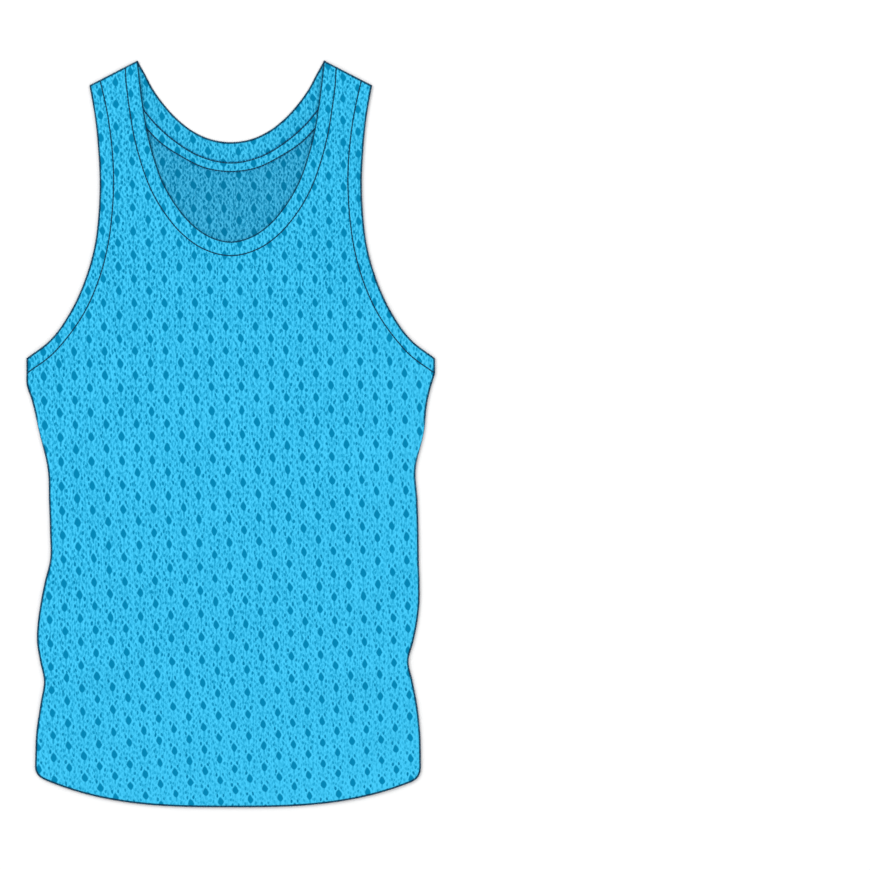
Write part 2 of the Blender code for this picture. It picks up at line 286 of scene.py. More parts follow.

# ---- colours and finish ----

# The cloth has these colours at the knit's depths 0, SHADED_DEPTH and 1. The darker two are
# painted shade: in the knit's gaps and slack stitches, and seen through an eyelet's thin knit.
BRIGHT_YARN = (0.056, 0.566, 0.894)
SHADED_YARN = (0.014, 0.359, 0.624)
EYELET_SHADE_BLUE = (0.0003, 0.217, 0.421)
SHADED_DEPTH = 0.6
PLAIN_TONE = (1.0, 1.0, 1.0)
BACK_BAND_TONE = (1.0, 0.95, 0.95)  # of the bands that lie at the back of the neck
INSIDE_SHADE_TONE = (1.0, 0.785, 0.80)  # the inside of the back under the front: its duller wrong side, and painted shade
INSIDE_GRAIN = 1.22
BACK_BAND_GRAIN = 1.05
YARN_ROUGHNESS = 0.66
EYELET_ROUGHNESS = 0.82
YARN_SHINE = 0.02
YARN_SHEEN = 0.03
SHEEN_ROUGHNESS = 0.5
SHEEN_TINT = (0.30, 0.75, 1.0, 1.0)
MESH_RELIEF = 0.35  # height of the knit's relief
BAND_RELIEF = 0.30
TAPE_RELIEF = 0.25
RELIEF_STRENGTH = 0.8

# Finishes with fine speckles. Roughness runs from rough to rough + SPECKLE_ROUGHNESS.
Finish = namedtuple("Finish", "dark light scale detail rough shine relief strength")
THREAD_FINISH = Finish(
    dark=(0.001, 0.026, 0.062, 1.0),
    light=(0.003, 0.050, 0.105, 1.0),  # where the thread's twist catches the light
    scale=2600.0,
    detail=2.0,
    rough=0.5,
    shine=0.1,
    relief=0.1,
    strength=0.6,
)
NUMBER_FINISH = Finish(
    dark=(0.0008, 0.0008, 0.0009, 1.0),
    light=(0.0032, 0.0032, 0.0036, 1.0),  # painted highlight where the knit's relief prints through the film
    scale=420.0,
    detail=3.0,
    rough=0.44,
    shine=0.07,
    relief=0.08,
    strength=0.5,
)
SPECKLE_ROUGHNESS = 0.2
PALE_FLOOR = (0.96, 0.96, 0.96, 1.0)
FLOOR_ROUGHNESS = 0.9
FLOOR_SHINE = 0.1


# ---- curves in the plan ----


def ease(t):
    """Smooth step from 0 to 1, of a number or an array."""
    t = np.clip(t, 0.0, 1.0)
    return t * t * (3.0 - 2.0 * t)


def smooth_path(rows, step=EDGE_STEP):
    """A smooth curve through the rows (x, drop, band width), with points about a step apart."""
    knots = [Vector(row) for row in rows]
    spans = [(b.xy - a.xy).length for a, b in zip(knots, knots[1:])]
    slopes = [(b - a) / span for a, b, span in zip(knots, knots[1:], spans)]
    tangents = [slopes[0]]
    for before, after, low, high in zip(slopes, slopes[1:], spans, spans[1:]):
        tangents.append((before * high + after * low) / (low + high))
    tangents.append(slopes[-1])
    path = []
    for index, span in enumerate(spans):
        count = max(1, round(span / step))
        for i in range(count):
            t = i / count
            start = knots[index] * (1 + 2 * t) * (1 - t) ** 2
            end = knots[index + 1] * (3 - 2 * t) * t**2
            out = tangents[index] * span * t * (1 - t) ** 2
            into = tangents[index + 1] * span * (1 - t) * t**2
            path.append(start + end + out - into)
    path.append(knots[-1])
    return path


def lengths_along(path):
    """The length of the path from its start to each of its points."""
    lengths = [0.0]
    for a, b in zip(path, path[1:]):
        lengths.append(lengths[-1] + (b.xy - a.xy).length)
    return lengths


def resampled(path, count):
    """The same curve with its points evenly spaced."""
    lengths = lengths_along(path)
    points = []
    index = 0
    for i in range(count):
        target = lengths[-1] * i / (count - 1)
        while index < len(path) - 2 and lengths[index + 1] < target:
            index += 1
        share = (target - lengths[index]) / (lengths[index + 1] - lengths[index])
        points.append(path[index].lerp(path[index + 1], min(share, 1.0)))
    return points


def across_centre(rows, band=0.0):
    """The curve of a symmetric edge, from the left shoulder round the centre to the right one."""
    left = [(row.half, row.drop, band) for row in rows]
    right = [(-x, drop, width) for x, drop, width in reversed(left[:-1])]
    return smooth_path(left + right)


def armhole_edge(side):
    return smooth_path([(side * row.half, row.drop, row.band) for row in ARMHOLE])


def shoulder_direction(side):
    """Along the shoulder seam, from the neck point to the tip."""
    run = Vector((SHOULDER_TIP_HALF - NECK_HALF, SHOULDER_TIP_DROP)).normalized()
    return Vector((side * run.x, run.y))


def inset(edge, extra, turn, first, last):
    """The seam of a band: its width, plus extra, inside the edge.

    turn is 1 or -1, for the side of the edge that the band lies on. At the ends the
    seam follows the directions first and last, of the seams that the band ends on.
    """
    lengths = lengths_along(edge)
    seam = []
    for index, point in enumerate(edge):
        ahead = edge[min(index + 1, len(edge) - 1)].xy
        behind = edge[max(index - 1, 0)].xy
        run = (ahead - behind).normalized()
        inward = Vector((-run.y, run.x)) * turn
        inward = first.lerp(inward, ease(lengths[index] / END_BLEND))
        inward = last.lerp(inward, ease((lengths[-1] - lengths[index]) / END_BLEND))
        seam.append(point.xy + inward.normalized() * (point.z + extra))
    return seam


def front_neck_seam(extra=0.0):
    edge = across_centre(FRONT_NECK, NECK_BAND)
    return inset(edge, extra, -1, shoulder_direction(1), shoulder_direction(-1))


def back_neck_seam(extra=0.0):
    edge = across_centre(BACK_NECK_SEAM)
    return inset(edge, extra, -1, shoulder_direction(1), shoulder_direction(-1))


def armhole_seam(side, extra=0.0):
    down_the_side = Vector((0.0, 1.0))
    return inset(armhole_edge(side), extra, side, -shoulder_direction(side), down_the_side)


def hem_drop(x):
    return LENGTH - HEM_RISE * (abs(x) / HEM_HALF) ** HEM_POWER


def side_edge(side):
    """From the armhole band down to the hem's corner, with the corner rounded."""
    seam_end = armhole_seam(side, SEAM_GAP)[-1]
    rows = [(row.left if side > 0 else -row.right, row.drop, 0.0) for row in SIDES]
    path = [point.xy for point in smooth_path([(*seam_end, 0.0)] + rows)]
    start = path[-1]
    corner = Vector((start.x, hem_drop(start.x)))
    end_x = start.x - side * CORNER
    end = Vector((end_x, hem_drop(end_x)))
    for i in range(CORNER_POINTS):
        t = (i + 1) / CORNER_POINTS
        path.append(start.lerp(corner, t).lerp(corner.lerp(end, t), t))
    return path


def hem_edge():
    """The hem between the rounded corners, from the right side to the left."""
    right_end = side_edge(-1)[-1].x
    left_end = side_edge(1)[-1].x
    count = round((left_end - right_end) / EDGE_STEP)
    places = [right_end + (left_end - right_end) * i / count for i in range(count + 1)]
    return [Vector((x, hem_drop(x))) for x in places]


def panel_outline(neck_seam):
    """The closed outline of a panel, inside its neck band and armhole bands."""
    return (
        neck_seam
        + armhole_seam(-1, SEAM_GAP)[:-1]
        + side_edge(-1)
        + hem_edge()[1:-1]
        + side_edge(1)[::-1]
        + armhole_seam(1, SEAM_GAP)[-2::-1]
    )


def band_outline(edge, seam):
    return [point.xy for point in edge] + [point.xy for point in reversed(seam)]


def back_neck_curves():
    """The back neck edge and its seam, with the same number of points."""
    seam = back_neck_seam()
    return resampled(across_centre(BACK_NECK), len(seam)), resampled(seam, len(seam))


def tape_curves():
    """The tape's upper and lower edge, with the same number of points."""
    top = across_centre(TAPE_TOP)
    return resampled(top, len(top)), resampled(across_centre(TAPE_FOOT), len(top))


# ---- arrays of plan points ----


def as_array(points):
    return np.array([(point[0], point[1]) for point in points])


def in_space(plan, heights):
    """The places in metres of plan points at these heights."""
    return np.stack([plan[:, 0], LENGTH / 2 - plan[:, 1], heights], axis=1) * MM


def distance_to(points, outline):
    """The distance from each point to the closed outline."""
    nearest = np.full(len(points), np.inf)
    for a, b in zip(outline, np.roll(outline, -1, axis=0)):
        run = b - a
        offset = points - a
        share = np.clip(offset @ run / (run @ run), 0.0, 1.0)
        nearest = np.minimum(nearest, np.hypot(*(offset - share[:, None] * run).T))
    return nearest


def inside(points, outline):
    """Whether each point lies inside the closed outline, by counting the edges beyond it."""
    found = np.zeros(len(points), bool)
    x, y = points.T
    for a, b in zip(outline, np.roll(outline, -1, axis=0)):
        if a[1] != b[1]:
            crossing = a[0] + (y - a[1]) * (b[0] - a[0]) / (b[1] - a[1])
            found ^= ((a[1] > y) != (b[1] > y)) & (x < crossing)
    return found


def enclosed_area(outline):
    """Positive where the outline runs from +X towards a larger drop."""
    x, y = outline.T
    return 0.5 * float(np.sum(x * np.roll(y, -1) - np.roll(x, -1) * y))


def inward_steps(outline):
    """For each point of the outline the step that moves it 1 mm inside both of its edges."""
    run = np.roll(outline, -1, axis=0) - outline
    run /= np.hypot(*run.T)[:, None]
    ahead = np.stack([-run[:, 1], run[:, 0]], axis=1) * np.sign(enclosed_area(outline))
    behind = np.roll(ahead, 1, axis=0)
    return (ahead + behind) / (1.0 + np.sum(ahead * behind, axis=1))[:, None]


# ---- the net of the cloth ----


def net_to_plan(column, row):
    """The plan place of a column and row of the net, numbers or arrays."""
    x = (
        NET_MIDDLE.x
        + COLUMN_PITCH * column
        + COLUMN_DRIFT * row
        - COLUMN_FAN * column * row
        - COLUMN_SQUEEZE * column**2
        + COLUMN_BOW * row**2
    )
    drop = (
        NET_MIDDLE.y
        + ROW_PITCH * row
        - ROW_TILT * column
        - ROW_FAN * column * row
        + ROW_STRETCH * row**2
        - ROW_SQUEEZE * row**3
    )
    return x, drop


def plan_to_net(x, drop):
    """The column and row of a plan place, found by stepping closer."""
    column = (x - NET_MIDDLE.x) / COLUMN_PITCH
    row = (drop - NET_MIDDLE.y) / ROW_PITCH
    for _ in range(NET_STEPS):
        here_x, here_drop = net_to_plan(column, row)
        column = column + (x - here_x) / COLUMN_PITCH
        row = row + (drop - here_drop) / ROW_PITCH
    return column, row


# ---- heights ----


def fold_lift(points, fold):
    start = np.array((fold.x, fold.drop))
    run = np.array((fold.to_x, fold.to_drop)) - start
    offset = points - start
    share = offset @ run / (run @ run)
    apart = np.hypot(*(offset - share[:, None] * run).T)
    along = np.sin(math.pi * np.clip(share, 0.0, 1.0) ** FOLD_LEAN) ** 2
    return fold.height * along * np.exp(-((apart / fold.spread) ** 2))


def front_floor(points):
    """Height of the underside of the front's cloth."""
    lift = np.max([fold_lift(points, fold) for fold in FOLDS], axis=0)
    away = np.hypot(np.abs(points[:, 0]) - TAPE_END.half, points[:, 1] - TAPE_END.drop)
    reach = (away - TAPE_RISE_FLAT) / (TAPE_RISE_REACH - TAPE_RISE_FLAT)
    return LAYER + THREAD_ROOM + np.maximum(lift, TAPE_RISE * (1.0 - ease(reach)))


def level(height):
    """The function of plan points for an underside that is level at a height."""

    def floor(points):
        return np.full(len(points), height)

    return floor


back_floor = level(THREAD_ROOM)
tape_floor = level(TAPE_FLOOR)


# ---- sums in node trees ----


def sum_of(operation, turned=False):
    """A sum with two amounts, for the class Amount. turned swaps them."""

    def work_out(self, other):
        values = (other, self) if turned else (self, other)
        return calc(self.tree, operation, *values)

    return work_out


class Amount:
    """A number that a node tree works out. Sums with it add Math nodes to its tree."""

    def __init__(self, tree, socket):
        self.tree = tree
        self.socket = socket

    def __abs__(self):
        return calc(self.tree, "ABSOLUTE", self)

    __add__ = __radd__ = sum_of("ADD")
    __mul__ = __rmul__ = sum_of("MULTIPLY")
    __sub__, __rsub__ = sum_of("SUBTRACT"), sum_of("SUBTRACT", turned=True)
    __truediv__, __rtruediv__ = sum_of("DIVIDE"), sum_of("DIVIDE", turned=True)
    __pow__ = sum_of("POWER")


def feed(tree, node, feeds):
    """Sets a node's inputs, by name or number, to values or links them to sockets."""
    for name, value in feeds.items():
        if isinstance(value, Amount):
            value = value.socket
        if isinstance(value, bpy.types.NodeSocket):
            tree.links.new(value, node.inputs[name])
        else:
            node.inputs[name].default_value = value


def add(tree, kind, feeds=None, **settings):
    node = tree.nodes.new(kind)
    for name, value in settings.items():
        setattr(node, name, value)
    feed(tree, node, feeds or {})
    return node


def result(tree, kind, feeds=None, **settings):
    """The first output of a new node."""
    return add(tree, kind, feeds, **settings).outputs[0]


def calc(tree, operation, *values):
    """The result of a Math node."""
    feeds = dict(enumerate(values))
    return Amount(tree, result(tree, "ShaderNodeMath", feeds, operation=operation))


def vector_calc(tree, operation, *values):
    """The vector that a Vector Math node gives."""
    feeds = dict(enumerate(values))
    return result(tree, "ShaderNodeVectorMath", feeds, operation=operation)


def split(tree, vector):
    """The three numbers of a vector."""
    parts = add(tree, "ShaderNodeSeparateXYZ", {0: vector}).outputs
    return [Amount(tree, part) for part in parts]


def joined(tree, *numbers):
    """The vector of up to three numbers."""
    return result(tree, "ShaderNodeCombineXYZ", dict(enumerate(numbers)))


def lesser(a, b):
    return calc(a.tree, "MINIMUM", a, b)


def greater(a, b):
    return calc(a.tree, "MAXIMUM", a, b)


# ---- Geometry Nodes ----


def shape_tree(name, sizes):
    """A Geometry Nodes tree with a named input for each size.

    Gives the tree, the outputs of its Group Input and the sizes as amounts.
    """
    tree = bpy.data.node_groups.new(name, "GeometryNodeTree")
    new_socket = tree.interface.new_socket
    new_socket("Geometry", in_out="OUTPUT", socket_type="NodeSocketGeometry")
    new_socket("Geometry", in_out="INPUT", socket_type="NodeSocketGeometry")
    for size, value in sizes.items():
        kind = "NodeSocketInt" if isinstance(value, int) else "NodeSocketFloat"
        new_socket(size, in_out="INPUT", socket_type=kind).default_value = value
    new_socket("Material", in_out="INPUT", socket_type="NodeSocketMaterial")
    given = add(tree, "NodeGroupInput").outputs
    return tree, given, {size: Amount(tree, given[size]) for size in sizes}


def finish_shape(tree, given, geometry):
    real = result(tree, "GeometryNodeRealizeInstances", {"Geometry": geometry})
    feeds = {"Geometry": real, "Material": given["Material"]}
    done = result(tree, "GeometryNodeSetMaterial", feeds)
    add(tree, "NodeGroupOutput", {"Geometry": done})
    return tree


EYELET_SIZES = {
    "Half Width": EYELET_HALF,
    "Top": EYELET_TOP,
    "Foot": EYELET_FOOT,
    "Power": EYELET_POWER,
    "Lean": EYELET_LEAN,
    "Floor Share": DIMPLE_FLOOR,
    "Rim Points": EYELET_POINTS,
}


def rim_tree():
    """An eyelet's or pinhole's rim on each point, and inside it the edge of its thin knit.

    The rim is a rounded diamond, higher above its middle than below, that leans to one side.
    """
    tree, given, size = shape_tree("knit openings", EYELET_SIZES)
    feeds = {"Vertices": size["Rim Points"], "Radius": 1.0}
    circle = result(tree, "GeometryNodeMeshCircle", feeds)
    side, rise, _ = split(tree, result(tree, "GeometryNodeInputPosition"))
    bend = 2.0 / size["Power"]
    wide = abs(side) ** bend * calc(tree, "SIGN", side) * size["Half Width"]
    above = calc(tree, "GREATER_THAN", rise, 0.0)
    height = abs(rise) ** bend * (size["Top"] * above - size["Foot"] * (1.0 - above))
    shaped = joined(tree, wide - height * size["Lean"], height)
    outer = result(tree, "GeometryNodeSetPosition", {"Geometry": circle, "Position": shaped})
    scale = joined(tree, size["Floor Share"], size["Floor Share"], 1.0)
    inner = result(tree, "GeometryNodeTransform", {"Geometry": outer, "Scale": scale})
    feeds = {"Geometry": inner, "Name": "sunk", "Value": 1.0}
    sunk = result(tree, "GeometryNodeStoreNamedAttribute", feeds, data_type="FLOAT")
    pair = add(tree, "GeometryNodeJoinGeometry")
    for ring in (sunk, outer):
        tree.links.new(ring, pair.inputs[0])
    dots = result(tree, "GeometryNodeMeshToPoints", {"Mesh": given["Geometry"]})
    feeds = {"Points": dots, "Instance": pair.outputs[0]}
    return finish_shape(tree, given, result(tree, "GeometryNodeInstanceOnPoints", feeds))


def thread_along(tree, given, size, thread, front):
    """Finishes a tree that sets pieces of thread a pitch apart along the path it is given.

    A piece's +X points to front, and its +Z up.
    """
    path = result(tree, "GeometryNodeMeshToCurve", {"Mesh": given["Geometry"]})
    feeds = {"Curve": path, "Length": size["Pitch"]}
    places = result(tree, "GeometryNodeResampleCurve", feeds, mode="LENGTH")
    axes = {"primary_axis": "X", "secondary_axis": "Z"}
    feeds = {"Primary Axis": front, "Secondary Axis": (0.0, 0.0, 1.0)}
    turn = result(tree, "FunctionNodeAxesToRotation", feeds, **axes)
    feeds = {"Points": places, "Instance": thread, "Rotation": turn}
    copies = result(tree, "GeometryNodeInstanceOnPoints", feeds)
    smooth = result(tree, "GeometryNodeSetShadeSmooth", {"Geometry": copies})
    return finish_shape(tree, given, smooth)


def stitch_tree():
    """Stitches that lie end to end along a path, flattened against the cloth."""
    sizes = {"Pitch": 1.0, "Half Length": 1.0, "Half Width": 1.0, "Half Height": 1.0}
    tree, given, size = shape_tree("seam stitches", sizes)
    feeds = {"Segments": STITCH_SIDES, "Rings": STITCH_RINGS, "Radius": 1.0}
    grain = result(tree, "GeometryNodeMeshUVSphere", feeds)
    # The sphere's poles point along the stitch.
    feeds = {"Geometry": grain, "Rotation": (0.0, math.pi / 2, 0.0)}
    lying = result(tree, "GeometryNodeTransform", feeds)
    scale = joined(tree, size["Half Length"], size["Half Width"], size["Half Height"])
    stitch = result(tree, "GeometryNodeTransform", {"Geometry": lying, "Scale": scale})
    return thread_along(tree, given, size, stitch, result(tree, "GeometryNodeInputTangent"))


def loop_tree():
    """Slanted loops of thread that bind an edge: each runs over it, round it and under it."""
    sizes = {"Pitch": 1.0, "Reach": 1.0, "Proud": 0.0, "Half Height": 1.0, "Thread Radius": 0.2}
    tree, given, size = shape_tree("edge loops", sizes)
    # The bow stands up, with its open side towards the cloth and its corners squared.
    half_turn = {"Start Angle": -math.pi / 2, "Sweep Angle": math.pi}
    feeds = {"Resolution": LOOP_BENDS, "Radius": 1.0, **half_turn}
    arc = result(tree, "GeometryNodeCurveArc", feeds)
    right, up, _ = split(tree, result(tree, "GeometryNodeInputPosition"))
    out = calc(tree, "SQRT", greater(right, 0.0))
    out = out * size["Reach"] + (size["Proud"] - size["Reach"])
    rise = calc(tree, "SQRT", abs(up)) * calc(tree, "SIGN", up) * size["Half Height"]
    feeds = {"Geometry": arc, "Position": joined(tree, out, 0.0, rise)}
    bow = result(tree, "GeometryNodeSetPosition", feeds)
    feeds = {"Resolution": LOOP_SIDES, "Radius": size["Thread Radius"]}
    round_thread = result(tree, "GeometryNodeCurvePrimitiveCircle", feeds)
    feeds = {"Curve": bow, "Profile Curve": round_thread, "Fill Caps": True}
    tube = result(tree, "GeometryNodeCurveToMesh", feeds)
    feeds = {"Geometry": tube, "Scale": (1.0, LOOP_WIDTH, 1.0)}
    flat = result(tree, "GeometryNodeTransform", feeds)
    along = result(tree, "GeometryNodeInputTangent")
    slant = vector_calc(tree, "MULTIPLY", along, (LOOP_SLANT,) * 3)
    feeds = {"Name": "outward"}
    outward = result(tree, "GeometryNodeInputNamedAttribute", feeds, data_type="FLOAT_VECTOR")
    front = vector_calc(tree, "ADD", outward, slant)
    return thread_along(tree, given, size, flat, front)


def grown(name, mesh, tree, sizes, material):
    """The plain mesh that a tree makes from a mesh, with the tree's inputs set."""
    seed = show(name + "_seed", mesh)
    modifier = seed.modifiers.new("shape", "NODES")
    modifier.node_group = tree
    values = {**sizes, "Material": material}
    for item in tree.interface.items_tree:
        if item.in_out == "INPUT" and item.name in values:
            modifier[item.identifier] = values[item.name]
    graph = bpy.context.evaluated_depsgraph_get()
    shape = bpy.data.meshes.new_from_object(seed.evaluated_get(graph), depsgraph=graph)
    shape.name = name
    if material:
        shape.materials.clear()
        shape.materials.append(material)
    bpy.data.objects.remove(seed, do_unlink=True)
    bpy.data.meshes.remove(mesh)
    return shape


def show(name, mesh):
    shown = bpy.data.objects.new(name, mesh)
    bpy.context.scene.collection.objects.link(shown)
    return shown


def bib_piece(name, mesh):
    """A piece of the bib, which is one body, as it has no joints."""
    piece = show(name, mesh)
    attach(piece, "root")
    return piece


# ---- materials ----


def new_material(name, values):
    """A new material and its shader, with these values on the shader's own sockets."""
    material = bpy.data.materials.new(name)
    material.use_nodes = True
    shader = material.node_tree.nodes["Principled BSDF"]
    feed(material.node_tree, shader, values)
    return material, shader


def finish_surface(tree, shader, colour, rough, height, relief, strength):
    """Links what changes over a surface. relief is in millimetres."""
    feeds = {"Height": height, "Distance": relief * MM, "Strength": strength}
    bump = result(tree, "ShaderNodeBump", feeds)
    feed(tree, shader, {"Base Color": colour, "Roughness": rough, "Normal": bump})


def soft_step(value, low, high):
    """0 where the value is low, 1 where it is high, and smooth between them."""
    feeds = {0: value, 1: low, 2: high}
    kind = "ShaderNodeMapRange"
    return Amount(value.tree, result(value.tree, kind, feeds, interpolation_type="SMOOTHSTEP"))


def clouds(tree, place, scale=1.0, detail=1.0, roughness=0.6):
    """A cloudy pattern in the plane of the net, as a number from 0 to 1 and as a colour."""
    feeds = {"Vector": place, "Scale": scale, "Detail": detail, "Roughness": roughness}
    pattern = add(tree, "ShaderNodeTexNoise", feeds, noise_dimensions="2D").outputs
    return Amount(tree, pattern[0]), pattern["Color"]


def lucks(tree, place, dimensions):
    """Three numbers from 0 to 1 that only chance decides, the same wherever place is."""
    luck = add(tree, "ShaderNodeTexWhiteNoise", {"Vector": place}, noise_dimensions=dimensions)
    return split(tree, luck.outputs["Color"])


def knit_group():
    """Where the knit is open, slack or tight, from the net's columns and rows.

    Depth is 0 on the brightest yarn and 1 inside an eyelet; the colour it gives is painted
    shade. Relief is the height of the knit, from 0 to 1.
    """
    tree = bpy.data.node_groups.new("knit mesh", "ShaderNodeTree")
    new_socket = tree.interface.new_socket
    new_socket("Net", in_out="INPUT", socket_type="NodeSocketVector")
    new_socket("Grain", in_out="INPUT", socket_type="NodeSocketFloat").default_value = 1.0
    for output in ("Depth", "Relief"):
        new_socket(output, in_out="OUTPUT", socket_type="NodeSocketFloat")
    given = add(tree, "NodeGroupInput").outputs

    # The place from the nearest eyelet's middle, in millimetres, and three chances for it.
    net_column, net_row, _ = split(tree, given["Net"])
    column = calc(tree, "ROUND", net_column)
    beside = (net_column - column) * COLUMN_PITCH
    row = net_row - column
    top = CELL_TOP / ROW_PITCH
    turn = calc(tree, "WRAP", row, top + 2.0, top)
    below = turn * ROW_PITCH
    cell = vector_calc(tree, "ADD", joined(tree, column, row - turn), (0.5, 0.5, 0.0))
    chances = lucks(tree, cell, "2D")

    # The yarn pulls every hole a little out of shape.
    pitches = (COLUMN_PITCH, ROW_PITCH, 1.0)
    millimetres = vector_calc(tree, "MULTIPLY", given["Net"], pitches)
    _, ragged = clouds(tree, millimetres, RAGGED_SCALE, roughness=0.5)
    pull = split(tree, vector_calc(tree, "SUBTRACT", ragged, (0.5, 0.5, 0.5)))
    across = pull[0] * SPOT_PULL[0] + beside
    down = pull[1] * SPOT_PULL[1] + below
    eye_across = pull[0] * EYELET_PULL[0] + beside
    eye_down = pull[1] * EYELET_PULL[1] + below

    # The eyelet, a rounded diamond of painted shade, higher above its middle than below, with a
    # light rib.
    wide = abs(eye_across - eye_down * EYELET_LEAN) / EYELET_HALF
    is_top = calc(tree, "LESS_THAN", eye_down, 0.0)
    tall = is_top * (EYELET_TOP - EYELET_FOOT) + EYELET_FOOT
    shape = wide**EYELET_POWER + (abs(eye_down) / tall) ** EYELET_POWER
    eyelet = soft_step(shape, *EYELET_EDGE)
    rib = soft_step(shape, *RIB_START) * soft_step(shape, *RIB_END)

    # The knit is slackest round the neck, and tightest at the left end of the hem.
    tight = (net_column / TIGHT_COLUMNS) ** 3.0 + ((net_row - EVEN_ROW) / TIGHT_ROWS) ** 3.0
    slack = 1.0 - lesser(greater(tight, SLACKEST), TIGHTEST)

    # Pinholes and slack stitches: leaning ovals of painted shade, each a little different at each
    # eyelet.
    kept_tone = slack * (1.0 - STITCH_FLOOR) + STITCH_FLOOR
    spots = None
    for index, spot in enumerate(PINHOLES + SLACK_STITCHES):
        drop = down - spot.down
        side = (across - (drop * spot.lean + spot.across)) / spot.half_width
        rise = drop / spot.half_length
        oval = soft_step(side * side + rise * rise, *SPOT_EDGE)
        unsteady = PINHOLE_LUCK if spot in PINHOLES else STITCH_LUCK
        oval = oval * ((chances[index % 3] - LUCK_CENTRE) * unsteady + 1.0) * spot.tone
        if spot in SLACK_STITCHES:
            oval = oval * kept_tone
        spots = greater(spots, oval) if spots else oval

    # The grain: short upright gaps between the stitches, darkened as painted shade and staggered
    # as the eyelets are, and soft streaks, each dark one beside a light one.
    gap_column = (pull[0] * GAP_PULL[0] + net_column) * GAPS_ACROSS
    whole_column = calc(tree, "ROUND", gap_column)
    gap_row = (pull[1] * GAP_PULL[1] + net_row) * GAPS_DOWN + whole_column * 0.5
    whole_row = calc(tree, "ROUND", gap_row)
    luck = lucks(tree, joined(tree, whole_column, whole_row, 0.5), "3D")
    side = (gap_column - whole_column) * (COLUMN_PITCH / GAPS_ACROSS / GAP_HALF_WIDTH)
    rise = gap_row - whole_row + (luck[1] - 0.5) * GAP_JITTER
    rise = rise * (ROW_PITCH / GAPS_DOWN / GAP_HALF_LENGTH)
    gaps = soft_step(side * side + rise * rise, *GAP_EDGE) * luck[0]
    streaks = []
    for shift in (0.0, STREAK_SHIFT):
        moved = vector_calc(tree, "ADD", millimetres, (shift, 0.0, 0.0))
        place = vector_calc(tree, "MULTIPLY", moved, STREAK_GRAIN)
        streaks.append(clouds(tree, place)[0])
    streak = soft_step(streaks[0] - streaks[1], *STREAK_RANGE)
    place = vector_calc(tree, "MULTIPLY", millimetres, LONG_STREAK_GRAIN)
    long_streak = soft_step(clouds(tree, place)[0], *LONG_STREAK_RANGE)
    grain = streak * STREAK_TONE + long_streak * LONG_STREAK_TONE + gaps * GAP_TONE
    grain = (grain + GRAIN_BASE) * (slack * given["Grain"])
    uneven, _ = clouds(tree, millimetres, UNEVEN_SCALE, detail=2.0, roughness=0.5)
    plain = grain + (uneven - 0.5) * UNEVEN_TONE + rib * RIB_TONE
    depth = greater(greater(spots, greater(plain, 0.0)), eyelet)

    # The stitches of the knit itself: upright wales crossed by finer courses.
    fine = split(tree, millimetres)
    wale = abs(calc(tree, "SINE", fine[0] * (math.pi / WALE_PITCH)))
    course = (wale * COURSE_SAG + fine[1]) * (math.pi / COURSE_PITCH)
    course = abs(calc(tree, "SINE", course)) * COURSE_SHARE + (1.0 - COURSE_SHARE)
    stitches = calc(tree, "SQRT", wale) * course
    relief = stitches * STITCH_RELIEF + rib * RIB_RELIEF + depth * DEPTH_RELIEF + PLAIN_RELIEF
    add(tree, "NodeGroupOutput", {"Depth": depth, "Relief": relief})
    return tree


def cloth_material(name, knit, tone, grain, relief):
    """A knitted cloth, coloured and raised by the knit group. tone scales its colours."""
    values = {
        "Specular IOR Level": YARN_SHINE,
        "Sheen Weight": YARN_SHEEN,
        "Sheen Roughness": SHEEN_ROUGHNESS,
        "Sheen Tint": SHEEN_TINT,
    }
    material, shader = new_material(name, values)
    tree = material.node_tree
    net = result(tree, "ShaderNodeUVMap", uv_map="net")
    mesh = add(tree, "ShaderNodeGroup", {"Net": net, "Grain": grain}, node_tree=knit).outputs
    depth = Amount(tree, mesh["Depth"])
    # The ramp paints shade into the colour: the deeper the knit, the darker.
    colour = add(tree, "ShaderNodeValToRGB", {0: depth})
    stops = colour.color_ramp.elements
    stops.new(SHADED_DEPTH)
    for stop, yarn in zip(stops, (BRIGHT_YARN, SHADED_YARN, EYELET_SHADE_BLUE)):
        stop.color = [*(a * b for a, b in zip(yarn, tone)), 1.0]
    rough = depth * (EYELET_ROUGHNESS - YARN_ROUGHNESS) + YARN_ROUGHNESS
    surface = (colour.outputs[0], rough, mesh["Relief"], relief, RELIEF_STRENGTH)
    finish_surface(tree, shader, *surface)
    return material


def speckled_material(name, finish):
    """Thread or printed film, with fine speckles in its colour, roughness and relief."""
    material, shader = new_material(name, {"Specular IOR Level": finish.shine})
    tree = material.node_tree
    place = add(tree, "ShaderNodeTexCoord").outputs["Object"]
    feeds = {"Vector": place, "Scale": finish.scale, "Detail": finish.detail}
    speckle = Amount(tree, result(tree, "ShaderNodeTexNoise", feeds))
    feeds = {0: speckle, 6: finish.dark, 7: finish.light}
    colour = add(tree, "ShaderNodeMix", feeds, data_type="RGBA").outputs[2]
    rough = speckle * SPECKLE_ROUGHNESS + finish.rough
    finish_surface(tree, shader, colour, rough, speckle, finish.relief, finish.strength)
    return material


# ---- cloth ----

# Points round the rounded edge of a cloth wall, as angles from its upper face.
EDGE_ANGLES = [math.radians(angle) for angle in (45.0, 90.0, 135.0)]


